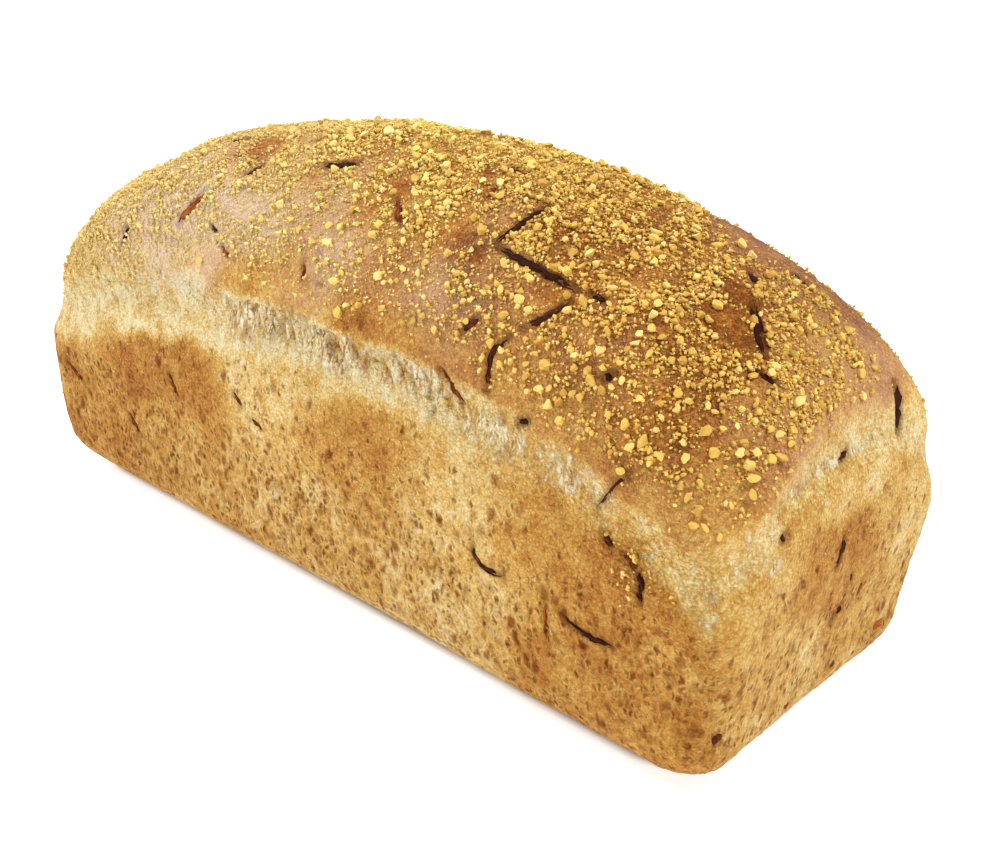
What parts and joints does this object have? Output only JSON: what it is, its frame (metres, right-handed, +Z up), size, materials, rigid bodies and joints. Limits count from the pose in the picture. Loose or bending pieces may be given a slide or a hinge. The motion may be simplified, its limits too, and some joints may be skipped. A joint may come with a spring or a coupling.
{
  "type": "carrot bread loaf",
  "caption": "Uncut tin-baked carrot bread loaf with straight walls, a torn side band and a high domed crown dusted with coarse maize grit, standing on its flat base.",
  "frame": {"origin": "on the table plane, under the middle of the loaf's bounding box", "axes": "+X along the loaf's length, +Y across it, +Z up from the flat base to the crown"},
  "size_m": [0.2812, 0.114, 0.1345],
  "materials": {
    "baked_crust": "baked golden-brown bread crust, satin on the crown and matt and pitted on the walls, with maize grit and carrot shreds"
  },
  "bodies": {
    "root": {"loaf": "baked_crust"}
  },
  "joints": []
}
